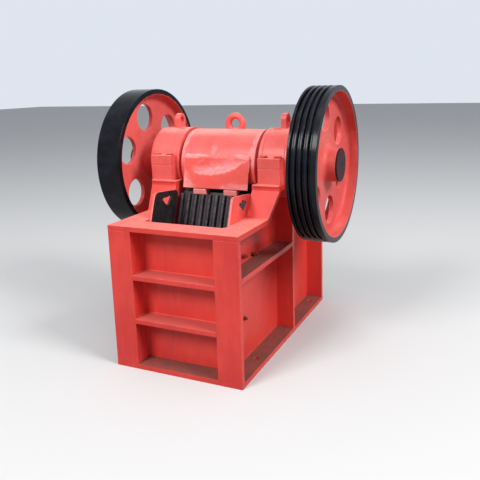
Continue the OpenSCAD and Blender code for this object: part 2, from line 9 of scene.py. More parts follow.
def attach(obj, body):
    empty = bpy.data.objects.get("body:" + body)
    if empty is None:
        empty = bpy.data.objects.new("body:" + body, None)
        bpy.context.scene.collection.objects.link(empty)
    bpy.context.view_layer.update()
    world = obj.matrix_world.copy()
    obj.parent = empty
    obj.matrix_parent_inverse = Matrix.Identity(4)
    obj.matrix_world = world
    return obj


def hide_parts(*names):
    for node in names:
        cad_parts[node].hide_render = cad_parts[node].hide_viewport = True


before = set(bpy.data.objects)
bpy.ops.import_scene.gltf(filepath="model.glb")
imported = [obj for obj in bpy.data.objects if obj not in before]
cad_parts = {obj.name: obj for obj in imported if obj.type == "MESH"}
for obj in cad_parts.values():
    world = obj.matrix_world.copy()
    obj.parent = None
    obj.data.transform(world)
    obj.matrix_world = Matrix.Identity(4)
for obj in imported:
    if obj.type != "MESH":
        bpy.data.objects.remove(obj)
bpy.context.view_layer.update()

scene = bpy.context.scene

# The photograph's view. The place, the three angles and the focal length come from fitting the
# machine's edges in the 480 pixel square photograph; the lens is shifted as the picture is cropped.
PHOTO_PX = 480
SENSOR_MM = 36
EYE = Vector((1.399, -2.835, 1.369))
HEADING, DIP, ROLL = math.radians(24.503), math.radians(11.975), math.radians(-1.52)
FOCAL_PX = 583.449
CENTRE_PX = (250.45, 205.60)


def show(name, data):
    """Puts a camera, a lamp or a mesh into the scene as an object."""
    thing = bpy.data.objects.new(name, data)
    scene.collection.objects.link(thing)
    return thing


def camera_axes(heading, dip, roll):
    """Right, up and forward of a camera that is turned by heading, tipped down by dip, then rolled."""
    forward = Vector((-math.sin(heading) * math.cos(dip), math.cos(heading) * math.cos(dip),
                      -math.sin(dip)))
    level = Vector((math.cos(heading), math.sin(heading), 0))
    upright = level.cross(forward)
    right = level * math.cos(roll) + upright * math.sin(roll)
    return right, right.cross(forward), forward


camera_data = bpy.data.cameras.new("photo_view")
camera_data.sensor_fit = "HORIZONTAL"
camera_data.sensor_width = SENSOR_MM
camera_data.lens = FOCAL_PX / PHOTO_PX * SENSOR_MM
camera_data.shift_x = (PHOTO_PX / 2 - CENTRE_PX[0]) / PHOTO_PX
camera_data.shift_y = (CENTRE_PX[1] - PHOTO_PX / 2) / PHOTO_PX
camera = show("photo_view", camera_data)
right, up, forward = camera_axes(HEADING, DIP, ROLL)
camera.matrix_world = Matrix.Translation(EYE) @ Matrix((right, up, -forward)).transposed().to_4x4()
scene.camera = camera
scene.view_settings.view_transform = "Standard"

# The studio: a pale floor that runs to the horizon, an even sky, and three big soft lamps: a weak one
# overhead, and two strong ones high up in front to the left and on the right.
FLOOR_HALF = 30
FLOOR_LIGHT, FLOOR_SEEN = (0.13, 0.125, 0.12, 1), (0.64, 0.64, 0.63, 1)
SKY_TINT = (0.86, 0.91, 1.0, 1)
SKY_LIGHT, SKY_SEEN = 0.43, 0.86


def put(tree, kind, inputs=None, **settings):
    """Adds a node to a tree. inputs gives, by socket, a plain value or another node's socket."""
    node = tree.nodes.new(kind)
    for name, value in settings.items():
        setattr(node, name, value)
    for key, value in (inputs or {}).items():
        if isinstance(value, bpy.types.NodeSocket):
            tree.links.new(value, node.inputs[key])
        else:
            node.inputs[key].default_value = value
    return node


def maths(tree, operation, a, b=0.0, c=0.0):
    """One Math node's result."""
    return put(tree, "ShaderNodeMath", {0: a, 1: b, 2: c}, operation=operation).outputs[0]


def blend_colour(tree, mask, a, b):
    """Colour a where the mask is 0, colour b where it is 1."""
    return put(tree, "ShaderNodeMix", {"Factor": mask, 6: a, 7: b}, data_type="RGBA").outputs[2]


def soft_lamp(name, place, target, size, watts):
    """A square area lamp at a place, turned to a target point."""
    lamp = bpy.data.lights.new(name, "AREA")
    lamp.size = size
    lamp.energy = watts
    turn = (Vector(target) - Vector(place)).to_track_quat("-Z", "Y").to_matrix().to_4x4()
    show(name, lamp).matrix_world = Matrix.Translation(place) @ turn


def background_seen(tree):
    """1 for the rays that show the background as it is, to the camera, in a reflection or through glass,
    and 0 for the rays that carry its light to the machine."""
    ray = put(tree, "ShaderNodeLightPath").outputs
    seen = maths(tree, "MAXIMUM", ray["Is Camera Ray"], ray["Is Glossy Ray"])
    return maths(tree, "MAXIMUM", seen, ray["Is Transmission Ray"])


floor_mesh = bpy.data.meshes.new("studio_floor")
floor_mesh.from_pydata([(-FLOOR_HALF, -FLOOR_HALF, 0), (FLOOR_HALF, -FLOOR_HALF, 0),
                        (FLOOR_HALF, FLOOR_HALF, 0), (-FLOOR_HALF, FLOOR_HALF, 0)], [], [(0, 1, 2, 3)])
show("studio_floor", floor_mesh)
floor_paint = bpy.data.materials.new("pale_floor")
floor_paint.use_nodes = True
floor_tree = floor_paint.node_tree
floor_shader = floor_tree.nodes["Principled BSDF"]
floor_shader.inputs["Roughness"].default_value = 0.9
floor_tree.links.new(blend_colour(floor_tree, background_seen(floor_tree), FLOOR_LIGHT, FLOOR_SEEN),
                     floor_shader.inputs["Base Color"])
floor_mesh.materials.append(floor_paint)

sky = bpy.data.worlds.new("studio_sky")
sky.use_nodes = True
sky_light = sky.node_tree.nodes["Background"].inputs
sky_light["Color"].default_value = SKY_TINT
strength = put(sky.node_tree, "ShaderNodeMapRange", {"Value": background_seen(sky.node_tree),
               "To Min": SKY_LIGHT, "To Max": SKY_SEEN}, name="strength")
sky.node_tree.links.new(strength.outputs["Result"], sky_light["Strength"])
scene.world = sky
soft_lamp("roof_light", (0.7, -1.0, 8.0), (0, 0.1, 0.6), 5.0, 120)
soft_lamp("front_light", (-2.3, -6.9, 6.6), (0, 0, 0.5), 3.0, 560)
soft_lamp("right_light", (7.0, -1.7, 6.2), (0, 0, 0.6), 3.0, 580)

# The welded frame: plates and ribs of rolled steel, brushed over with orange-red enamel that lies
# unevenly and is rubbed pale in places. Ribs and rear parts hold dust on faces that look up; on the
# other front plates such faces take a pale chalky film that is also painted sheen of the light from
# above. Its edges are ground blunt.
ENAMEL = (0.84, 0.072, 0.054, 1)
ENAMEL_DEEP = (0.69, 0.047, 0.040, 1)
ENAMEL_RUBBED = (0.92, 0.27, 0.25, 1)
ENAMEL_TONES = ENAMEL, ENAMEL_DEEP, ENAMEL_RUBBED
WORKSHOP_DUST = (0.125, 0.070, 0.056, 1)
# Pale chalky film for faces that look up, and also painted sheen: it makes them lighter, as light from above
# would.
PALE_FILM_AND_SHEEN = (0.88, 0.30, 0.25, 1)
RIB_FILM = (0.40, 0.13, 0.11, 1)
DUST_AND_SHEEN_FACING = 0.80, 0.98
BRUSH_STREAKS = (9, 9, 1.4)
PLATE_BLUNT = 0.0022
SAME_POINT, SAME_FACE = 2e-5, math.radians(0.6)
WORN_EDGE = "worn_edge"
SURFACE = ("Color", "NodeSocketColor"), ("Roughness", "NodeSocketFloat"), ("Normal", "NodeSocketVector")


def group_tree(name, inputs):
    """A shader node group with named inputs, and a surface's colour, roughness and normal as its
    outputs. Returns the tree and the sockets of its two end nodes."""
    tree = bpy.data.node_groups.new(name, "ShaderNodeTree")
    for label, kind, default in inputs:
        socket = tree.interface.new_socket(label, in_out="INPUT", socket_type=kind)
        if default is not None:
            socket.default_value = default
    for label, kind in SURFACE:
        tree.interface.new_socket(label, in_out="OUTPUT", socket_type=kind)
    return tree, tree.nodes.new("NodeGroupInput").outputs, tree.nodes.new("NodeGroupOutput").inputs


def close_group(tree, out, colour, rough, bump):
    """Links a colour, a roughness and a bump node's normal to the ends of a group."""
    for (label, _), value in zip(SURFACE, (colour, rough, bump.outputs["Normal"])):
        tree.links.new(value, out[label])
    return tree


def noise(tree, vector, scale, detail=4.0, roughness=0.55, distortion=0.0):
    """A noise texture's value."""
    return put(tree, "ShaderNodeTexNoise", {"Vector": vector, "Scale": scale, "Detail": detail,
               "Roughness": roughness, "Distortion": distortion}).outputs["Fac"]


def remap(tree, value, low, high, to_low=0.0, to_high=1.0):
    """A value taken from one range to another with a smooth step, and held at both ends."""
    return put(tree, "ShaderNodeMapRange", {"Value": value, "From Min": low, "From Max": high,
               "To Min": to_low, "To Max": to_high}, interpolation_type="SMOOTHSTEP").outputs["Result"]


def vectors(tree, operation, a, b=(0.0, 0.0, 0.0)):
    """The outputs of one Vector Math node, Vector and Value."""
    return put(tree, "ShaderNodeVectorMath", {0: a, 1: b}, operation=operation).outputs


def stretched(tree, vector, factors):
    """A vector scaled axis by axis, which stretches a pattern."""
    return vectors(tree, "MULTIPLY", vector, factors)["Vector"]


def parted(tree, vector):
    """A vector's three numbers, by the names X, Y and Z."""
    return put(tree, "ShaderNodeSeparateXYZ", {0: vector}).outputs


def brushed_enamel_group():
    """Hand-brushed enamel. Its tone drifts and has faint brush streaks. The rubbed colour shows in
    patches, on worn edges and where the chalk and highlight input asks for it: real chalk, and on the
    wheels painted highlights. The dust and sheen colour lies on the faces that look up: real dust
    where a dark colour is given, and where a pale film is given, a chalky film that is also painted
    sheen of the light from above."""
    tree, given, out = group_tree("brushed_enamel", [
        ("Vector", "NodeSocketVector", None), ("Paint", "NodeSocketColor", ENAMEL),
        ("Deep", "NodeSocketColor", ENAMEL_DEEP), ("Rubbed", "NodeSocketColor", ENAMEL_RUBBED),
        ("Dust And Sheen", "NodeSocketColor", WORKSHOP_DUST), ("Rub Amount", "NodeSocketFloat", 0.3),
        ("Dust Amount", "NodeSocketFloat", 0.6), ("Chalk And Highlight", "NodeSocketFloat", 0.0),
        ("Streaks", "NodeSocketVector", BRUSH_STREAKS), ("Edge", "NodeSocketFloat", 0.0)])
    place = given["Vector"]
    drift = noise(tree, place, 2.6, 3.0)
    mottle = noise(tree, place, 17.0, 6.0, 0.62, 0.4)
    streak = noise(tree, stretched(tree, place, given["Streaks"]), 4.0, 5.0, 0.6, 0.3)
    tone = maths(tree, "MULTIPLY_ADD", drift, 0.7, maths(tree, "MULTIPLY", streak, 0.30))
    colour = blend_colour(tree, remap(tree, tone, 0.36, 0.64), given["Deep"], given["Paint"])
    patches = remap(tree, noise(tree, place, 3.4, 4.0, 0.6, 1.1), 0.56, 0.72)
    chalk = remap(tree, noise(tree, stretched(tree, place, (1.0, 1.0, 2.6)), 24.0, 8.0, 0.7, 1.6), 0.40, 0.74)
    rub = maths(tree, "MULTIPLY", maths(tree, "MULTIPLY", patches, chalk), given["Rub Amount"])
    marks = maths(tree, "MULTIPLY", given["Chalk And Highlight"], maths(tree, "MULTIPLY_ADD", chalk, 0.6, 0.4))
    thin = remap(tree, noise(tree, place, 28.0, 5.0, 0.65), 0.42, 0.66, 0.0, 0.26)
    worn = maths(tree, "MULTIPLY", thin, given["Edge"])
    rub = maths(tree, "MAXIMUM", maths(tree, "MAXIMUM", rub, marks), worn)
    colour = blend_colour(tree, rub, colour, given["Rubbed"])
    # Faces that look up take the dust and sheen colour: real dust where it is dark, painted sheen of the
    # light from above where it is a pale film.
    facing = parted(tree, put(tree, "ShaderNodeNewGeometry").outputs["Normal"])["Z"]
    level = remap(tree, facing, *DUST_AND_SHEEN_FACING)
    grain = maths(tree, "MULTIPLY", noise(tree, place, 90.0, 4.0, 0.7), 0.4)
    grain = maths(tree, "MULTIPLY_ADD", noise(tree, place, 7.0, 8.0, 0.7), 0.6, grain)
    lie = remap(tree, grain, 0.34, 0.60, 0.68, 1.0)
    dust_and_sheen = maths(tree, "MULTIPLY", maths(tree, "MULTIPLY", level, lie), given["Dust Amount"])
    colour = blend_colour(tree, dust_and_sheen, colour, given["Dust And Sheen"])
    rough = maths(tree, "MULTIPLY_ADD", mottle, 0.22, 0.26)
    rough = maths(tree, "MULTIPLY_ADD", rub, 0.25, rough)
    rough = maths(tree, "MULTIPLY_ADD", dust_and_sheen, 0.45, rough)
    height = maths(tree, "MULTIPLY_ADD", streak, 0.7, maths(tree, "MULTIPLY", mottle, 0.5))
    bump = put(tree, "ShaderNodeBump", {"Strength": 0.35, "Distance": 0.0012, "Height": height})
    return close_group(tree, out, colour, rough, bump)


BRUSHED_ENAMEL = brushed_enamel_group()


def new_material(name):
    """A material, its node tree, its Principled shader and the object coordinates."""
    material = bpy.data.materials.new(name)
    material.use_nodes = True
    tree = material.node_tree
    return material, tree, tree.nodes["Principled BSDF"], put(tree, "ShaderNodeTexCoord").outputs["Object"]


def enamel_layer(tree, place, tones, inputs):
    """The enamel group in a material, with its paint, deep and rubbed tones. It wears thin where the
    mesh's own attribute marks a blunted edge."""
    worn = put(tree, "ShaderNodeAttribute", attribute_name=WORN_EDGE).outputs["Fac"]
    values = {"Vector": place, "Edge": worn, **dict(zip(("Paint", "Deep", "Rubbed"), tones)), **inputs}
    return put(tree, "ShaderNodeGroup", values, node_tree=BRUSHED_ENAMEL, name="enamel")


def link_surface(tree, surface, shader):
    """Links a group's colour, roughness and normal to a shader."""
    for label, socket in (("Color", "Base Color"), ("Roughness", "Roughness"), ("Normal", "Normal")):
        tree.links.new(surface[label], shader.inputs[socket])


def enamel(name, rub, dust_and_sheen, dust_colour=WORKSHOP_DUST, streaks=BRUSH_STREAKS, tones=ENAMEL_TONES):
    """A material of the enamel alone, with its own share of rubbed patches and of the dust and sheen colour
    on faces that look up; the pale films among these colours are partly painted sheen.
    """
    material, tree, shader, place = new_material(name)
    layer = enamel_layer(tree, place, tones, {"Rub Amount": rub, "Dust Amount": dust_and_sheen,
                                              "Dust And Sheen": dust_colour, "Streaks": streaks})
    link_surface(tree, layer.outputs, shader)
    shader.inputs["Specular IOR Level"].default_value = 0.3
    return material


def finish_piece(piece, body, material, slot, *nodes):
    """Gives a piece its material and body, and lets it stand for the CAD nodes that it shows. The slot is not
    used.
    """
    piece.data.materials.clear()
    piece.data.materials.append(material)
    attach(piece, body)
    if nodes:
        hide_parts(*nodes)
    return piece


def merged(mesh, reach):
    """A bmesh of a mesh, in which points closer than reach have become one."""
    work = bmesh.new()
    work.from_mesh(mesh)
    bmesh.ops.remove_doubles(work, verts=work.verts, dist=reach)
    return work


def smooth_piece(name, mesh, work):
    """An object whose mesh takes over a finished bmesh and is shaded smooth."""
    work.to_mesh(mesh)
    work.free()
    mesh.polygons.foreach_set("use_smooth", np.ones(len(mesh.polygons), bool))
    return show(name, mesh)


def blunted(node, name, width=PLATE_BLUNT, segments=2, sharp=30):
    """A merged copy of a CAD node's mesh, whose edges sharper than an angle in degrees are rounded off
    by a small bevel. The face attribute worn_edge marks the bevel with 1."""
    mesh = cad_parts[node].data.copy()
    mesh.name = name
    work = merged(mesh, SAME_POINT)
    bmesh.ops.dissolve_limit(work, angle_limit=SAME_FACE, verts=work.verts, edges=work.edges)
    edges = [e for e in work.edges if len(e.link_faces) == 2 and e.calc_face_angle(0) > math.radians(sharp)]
    mark = work.faces.layers.float.new(WORN_EDGE)
    bevel = bmesh.ops.bevel(work, geom=edges, offset=width, offset_type="OFFSET", segments=segments,
                            profile=0.5, affect="EDGES", clamp_overlap=True)
    for face in bevel["faces"]:
        face[mark] = 1.0
    piece = smooth_piece(name, mesh, work)
    piece.modifiers.new("flat_faces_first", "WEIGHTED_NORMAL").keep_sharp = True
    return piece


def show_node(node, name, body, material, slot, *bevel):
    """A CAD node with blunted edges. bevel gives the edges' width, segments and angle."""
    return finish_piece(blunted(node, name, *bevel), body, material, slot, node)


front_enamel = enamel("front_enamel", 0.12, 0.62, PALE_FILM_AND_SHEEN)
rib_enamel = enamel("rib_enamel", 0.12, 0.62, RIB_FILM)
rear_enamel = enamel("rear_enamel", 0.12, 0.93)
show_node("front_ribs", "front_ribs_plate", "frame", rib_enamel, "frame_paint")
for node in ("front_wall", "front_post_left", "front_post_right", "top_plate",
             "side_wall_left", "side_wall_right", "slope_flange_left", "slope_flange_right"):
    show_node(node, node + "_plate", "frame", front_enamel, "frame_paint")
for node in ("base_frame", "side_ribs_left", "side_ribs_right", "rear_wall", "rear_ribs", "rear_posts",
             "toggle_beam"):
    show_node(node, node + "_plate", "frame", rear_enamel, "frame_paint")

# The weld seams of the frame: fillets laid by hand in the corners where ribs, posts and flanges meet
# the walls, with the ripples and the uneven width of stick welding, brushed over with the enamel.
SEAM_RADIUS, SEAM_STEP, SEAM_SIDES = 0.0038, 0.0035, 8
RIPPLE, SEAM_END = 0.0065, 0.05
NO_SEAM_RUNS_HERE = np.array((0.33, 0.21, 0.92))
BAY_X, WALL_X = 0.220, 0.245
FRONT_WALL_Y, RIB_FRONT_Y, POST_Y = -0.563, -0.634, -0.635
REAR_POST_Y = 0.525
FOOT_Z, HEAD_END_Z = 0.030, 0.690
BASE_TOP_Z, PLATE_UNDER_Z = 0.025, 0.695
FRONT_RIB_EDGES = 0.236, 0.261, 0.457, 0.482
SIDE_RIB_EDGES = 0.496, 0.521
UPRIGHT_RIB_EDGES = 0.011, 0.036


def seam(points, radius=SEAM_RADIUS):
    """A weld bead along a line of points: a tube whose radius swells with each ripple and drifts slowly,
    radius * (1 + 0.13 sin(2 pi s / 6.5 mm) + 0.12 sin(31 s) + 0.08 sin(83 s)), and ends in a point."""
    points = np.asarray(points, float)
    lengths = np.r_[0, np.cumsum(np.linalg.norm(np.diff(points, axis=0), axis=1))]
    s = np.linspace(0, lengths[-1], max(4, int(lengths[-1] / SEAM_STEP)))
    line = np.stack([np.interp(s, lengths, points[:, k]) for k in range(3)], axis=1)
    along = np.gradient(line, axis=0)
    along /= np.linalg.norm(along, axis=1)[:, None]
    side = np.cross(along, NO_SEAM_RUNS_HERE)
    side /= np.linalg.norm(side, axis=1)[:, None]
    over = np.cross(side, along)
    swell = radius * (1 + 0.13 * np.sin(2 * np.pi * s / RIPPLE)
                      + 0.12 * np.sin(31 * s) + 0.08 * np.sin(83 * s))
    swell[0] = swell[-1] = radius * SEAM_END
    turn = np.linspace(0, 2 * np.pi, SEAM_SIDES, endpoint=False)
    ring = np.cos(turn)[None, :, None] * side[:, None, :] + np.sin(turn)[None, :, None] * over[:, None, :]
    return line[:, None, :] + swell[:, None, None] * ring


def wall_seam(x, start, end, radius=SEAM_RADIUS):
    """A straight seam at one X, between two points given by Y and Z."""
    return seam([(x, *start), (x, *end)], radius)


def grid_faces(rows, columns, round_rows):
    """The quads of a grid of points that closes round its columns, and round its rows if asked."""
    r, c = np.meshgrid(np.arange(rows if round_rows else rows - 1), np.arange(columns), indexing="ij")
    up, over = (r + 1) % rows, (c + 1) % columns
    return np.stack([r * columns + c, r * columns + over, up * columns + over, up * columns + c],
                    axis=-1).reshape(-1, 4)


def shaped_piece(name, grids, round_rows=False):
    """One object from grids of points; its doubled points are merged, its ends are closed and its
    faces turned outwards."""
    points, faces, first = [], [], 0
    for grid in grids:
        rows, columns = grid.shape[:2]
        points.append(grid.reshape(-1, 3))
        faces += (grid_faces(rows, columns, round_rows) + first).tolist()
        if not round_rows:
            faces.append((first + np.arange(columns)).tolist())
            faces.append((first + (rows - 1) * columns + np.arange(columns)).tolist())
        first += rows * columns
    mesh = bpy.data.meshes.new(name)
    mesh.from_pydata(np.concatenate(points).tolist(), [], faces)
    work = merged(mesh, 1e-6)
    bmesh.ops.recalc_face_normals(work, faces=work.faces)
    return smooth_piece(name, mesh, work)


def mirrored(grids):
    """The given grids, then the same ones on the other side of the machine's middle plane."""
    return list(grids) + [grid * np.array((-1, 1, 1)) for grid in grids]


front_seams = []
for z in FRONT_RIB_EDGES:
    front_seams.append(seam([(-BAY_X, FRONT_WALL_Y, z), (BAY_X, FRONT_WALL_Y, z)]))
    front_seams += mirrored([wall_seam(BAY_X, (RIB_FRONT_Y, z), (FRONT_WALL_Y - 0.003, z))])
front_seams += mirrored([wall_seam(x, (y, FOOT_Z), (y, top)) for x, y, top in (
    (BAY_X, FRONT_WALL_Y, HEAD_END_Z), (WALL_X, POST_Y, HEAD_END_Z), (WALL_X, REAR_POST_Y, 0.600))])
finish_piece(shaped_piece("front_seams", front_seams), "frame", front_enamel, "frame_paint")
level_seams = [wall_seam(WALL_X, (-0.630, z), (UPRIGHT_RIB_EDGES[0], z)) for z in SIDE_RIB_EDGES]
upright_seams = [wall_seam(WALL_X, (y, FOOT_Z), (y, 0.760)) for y in UPRIGHT_RIB_EDGES]
edge_seams = [wall_seam(WALL_X, (RIB_FRONT_Y, BASE_TOP_Z), (0.520, BASE_TOP_Z)),
              wall_seam(WALL_X, (RIB_FRONT_Y, PLATE_UNDER_Z), (-0.318, PLATE_UNDER_Z)),
              wall_seam(WALL_X, (-0.308, PLATE_UNDER_Z), (-0.215, 0.838))]
finish_piece(shaped_piece("side_seams", mirrored(level_seams + upright_seams + edge_seams)),
             "frame", rear_enamel, "frame_paint")

# The bearing housings: two castings a side, bolted to each other with four studs and welded to the
# seat plate. Castings and lugs have rounder edges than the plates and thicker, glossier enamel.
AXIS_Y, AXIS_Z = 0.011, 0.948
CASTING_BLUNT, RING_BLUNT = 0.003, 0.0015
CASTING_TONES = (0.83, 0.138, 0.118, 1), (0.75, 0.092, 0.080, 1), (0.94, 0.40, 0.38, 1)
# Pale film for the castings' faces that look up: a chalky film that is also painted sheen of the light from
# above.
CASTING_FILM_AND_SHEEN = (0.90, 0.37, 0.32, 1)
# The nuts' enamel is darker than the housings': a copy of the enamel with painted shade for the shadows round
# and under the nuts.
NUT_TONES_PAINTED_SHADE = (0.66, 0.055, 0.048, 1), (0.42, 0.035, 0.032, 1), ENAMEL_RUBBED
HEX_STEPS, HEX_SHARP = 48, math.radians(32)
CAP_STUDS = [(x, y) for x in (0.271, 0.347) for y in (-0.190, 0.212)]
CAP_FOOT_Z, CAP_NUT, CAP_NUT_HEIGHT = 1.0, 0.036, 0.009
COVER_X, COVER_BOLTS_R, COVER_HEAD, COVER_HEAD_HEIGHT = 0.405, 0.158, 0.019, 0.010
LUG_FOOT_Z = 1.128


def hex_nut(place, axis, across, height, stud=0.0, turn=0.0):
    """A chamfered hexagon on a washer, with a stud's end if asked. At the angle t its radius is
    across / 2 / cos(t), t taken from the middle of a flat, cut to a smaller circle at the top; rows run
    from the foot to the middle."""
    t = np.linspace(0, 2 * np.pi, HEX_STEPS, endpoint=False)
    flat = across / 2 / np.cos((t + np.pi / 6) % (np.pi / 3) - np.pi / 6)
    corner, stud_r = across / 2 / np.cos(np.pi / 6), across * 0.31
    rows = [(corner * 1.14, 0.0), (corner * 1.14, height * 0.14), (corner * 1.02, height * 0.15),
            (flat, height * 0.15), (flat, height * 0.86), (np.minimum(flat, across * 0.49), height),
            (stud_r, height)]
    if stud:
        rows += [(stud_r, height + stud * 0.85), (stud_r * 0.8, height + stud)]
    rows.append((1e-5, rows[-1][1]))
    axis = np.asarray(axis, float)
    u = np.cross(axis, (0.0, 0.0, 1.0) if abs(axis[2]) < 0.9 else (1.0, 0.0, 0.0))
    u /= np.linalg.norm(u)
    v = np.cross(axis, u)
    ring = np.cos(t + turn)[:, None] * u + np.sin(t + turn)[:, None] * v
    return np.stack([np.asarray(place, float) + (0 * t + r)[:, None] * ring + h * axis for r, h in rows])


def bolted(name, nuts, material, slot):
    """A set of the frame's nuts or bolt heads as one piece, shaded flat where faces meet at an angle."""
    piece = shaped_piece(name, nuts)
    piece.data.set_sharp_from_angle(angle=HEX_SHARP)
    return finish_piece(piece, "frame", material, slot)


# The housings' up-facing faces take the pale casting film, partly painted sheen.
housing_enamel = enamel("housing_enamel", 0.5, 0.7, CASTING_FILM_AND_SHEEN, (6, 6, 5), CASTING_TONES)
for side in ("left", "right"):
    for node, blunt in (("bearing_block_", CASTING_BLUNT), ("bearing_cap_", CASTING_BLUNT),
                        ("bearing_ring_", RING_BLUNT), ("bearing_cover_", RING_BLUNT)):
        show_node(node + side, node + side + "_casting", "frame", housing_enamel, "frame_paint", blunt, 3)
cap_nuts = [hex_nut((*stud, CAP_FOOT_Z), (0, 0, 1), CAP_NUT, CAP_NUT_HEIGHT, turn=0.3 * k)
            for k, stud in enumerate(CAP_STUDS)]
cover_heads = [hex_nut((COVER_X, AXIS_Y + COVER_BOLTS_R * math.cos(a), AXIS_Z + COVER_BOLTS_R * math.sin(a)),
                       (1, 0, 0), COVER_HEAD, COVER_HEAD_HEIGHT) for a in np.radians(np.arange(15, 375, 60))]
# Painted shade: the nuts and bolt heads take the darker copy of the enamel.
nut_enamel_painted_shade = enamel("nut_enamel_painted_shade", 0.1, 0.4, CASTING_FILM_AND_SHEEN, (9, 9, 9), NUT_TONES_PAINTED_SHADE)
bolted("housing_nuts", mirrored(cap_nuts + cover_heads), nut_enamel_painted_shade, "frame_paint")
housing_seams = mirrored([
    seam([(0.222, -0.229, 0.864), (0.368, -0.229, 0.864)], 0.006),
    seam([(0.252, -0.222, 0.866), (0.368, -0.222, 0.866)], 0.005),
    seam([(0.262, -0.0275, LUG_FOOT_Z), (0.302, -0.0275, LUG_FOOT_Z)], 0.0045),
    wall_seam(0.301, (-0.024, LUG_FOOT_Z), (0.046, LUG_FOOT_Z), 0.0045),
    wall_seam(0.331, (-0.024, LUG_FOOT_Z), (0.046, LUG_FOOT_Z), 0.0045)])
finish_piece(shaped_piece("housing_seams", housing_seams), "frame", housing_enamel, "frame_paint")

# The chamber's liners. The two jaw plates are manganese steel castings, black as they come, with
# worn bare tips; the cheek plates are flat, black towards the stone and enamelled on their edges.
FACE_RUN, FACE_RISE = 0.222, 0.571
FACE_LEAN = math.atan2(FACE_RUN, FACE_RISE)
FACE_NORMAL = (math.cos(FACE_LEAN), -math.sin(FACE_LEAN))
SWING_TIPS, FIXED_TIPS = (-0.448, 0.235), (-0.488, 0.300)
LINER_BLUNT = 0.0025
LINER_BLACK = (0.005, 0.0025, 0.0035, 1), (0.020, 0.010, 0.014, 1)
BARE_TIP = (0.050, 0.042, 0.048, 1)
BRUSHED_BLACK = (0.010, 0.009, 0.010, 1), (0.035, 0.030, 0.031, 1)
CHEEK_FRONT = (-0.492, 0.7075), (0.936, -0.353)
CHEEK_UPPER = (-0.440, 0.845), (-0.103, -0.995)
CHEEK_REAR = (-0.218, 0.822), (-0.932, 0.362)
CHEEK_HOLE = -0.334, 0.787
INNER_FACE_X, OUTER_FACE_X = (0.2083, 0.2092), (0.2188, 0.2192)
WALL_BOLTS = (-0.414, 0.553), (-0.390, 0.548), (-0.303, 0.532), (-0.280, 0.527), (-0.411, 0.236)


def casting_skin_group():
    """A cast surface: fine pits, broad lumps, and a tone that drifts between the two given colours."""
    tree, given, out = group_tree("casting_skin", [
        ("Vector", "NodeSocketVector", None), ("Dark", "NodeSocketColor", (0.02, 0.02, 0.022, 1)),
        ("Pale", "NodeSocketColor", (0.06, 0.055, 0.055, 1)), ("Grit", "NodeSocketFloat", 150.0)])
    place = given["Vector"]
    lumps = noise(tree, place, 22.0, 5.0, 0.6)
    grit = noise(tree, place, given["Grit"], 3.0, 0.7)
    grain = maths(tree, "MULTIPLY_ADD", lumps, 0.7, maths(tree, "MULTIPLY", grit, 0.3))
    tone = remap(tree, grain, 0.36, 0.64)
    colour = blend_colour(tree, tone, given["Dark"], given["Pale"])
    height = maths(tree, "MULTIPLY_ADD", grit, 0.5, lumps)
    bump = put(tree, "ShaderNodeBump", {"Strength": 0.5, "Distance": 0.0016, "Height": height})
    return close_group(tree, out, colour, maths(tree, "MULTIPLY_ADD", tone, 0.2, 0.36), bump)


CASTING_SKIN = casting_skin_group()


def cast_skin(tree, place, dark, pale, grit=150.0):
    """The casting group in a material, with its two colours."""
    return put(tree, "ShaderNodeGroup", {"Vector": place, "Dark": dark, "Pale": pale, "Grit": grit},
               node_tree=CASTING_SKIN).outputs


def cast_material(name, dark, pale, grit=150.0):
    """A material of the cast surface alone."""
    material, tree, shader, place = new_material(name)
    link_surface(tree, cast_skin(tree, place, dark, pale, grit), shader)
    return material


def lean_depth(tree, place, point, normal):
    """Distance of a place behind a plane through a point (Y, Z), along its normal (Y, Z)."""
    shifted = vectors(tree, "SUBTRACT", place, (0, *point))["Vector"]
    return vectors(tree, "DOT_PRODUCT", shifted, (0, *normal))["Value"]


def from_line(tree, place, y, z):
    """Distance of a place from the line along X at y and z."""
    aside = stretched(tree, vectors(tree, "SUBTRACT", place, (0, y, z))["Vector"], (0, 1, 1))
    return vectors(tree, "LENGTH", aside)["Value"]


def liner_steel(name, point, normal):
    """Black cast manganese steel whose tooth tips, the first 3 mm behind the plane of the tips, are bare."""
    material, tree, shader, place = new_material(name)
    skin = cast_skin(tree, place, *LINER_BLACK, 190.0)
    depth = lean_depth(tree, place, point, normal)
    wear = maths(tree, "MULTIPLY", remap(tree, depth, 0.0008, 0.0035, 1.0, 0.0),
                 remap(tree, noise(tree, place, 30.0, 5.0, 0.65), 0.35, 0.62))
    tree.links.new(blend_colour(tree, wear, skin["Color"], BARE_TIP), shader.inputs["Base Color"])
    tree.links.new(maths(tree, "MULTIPLY", wear, 0.3), shader.inputs["Metallic"])
    tree.links.new(maths(tree, "ADD", skin["Roughness"], -0.10), shader.inputs["Roughness"])
    shader.inputs["Specular IOR Level"].default_value = 0.25
    tree.links.new(skin["Normal"], shader.inputs["Normal"])
    return material


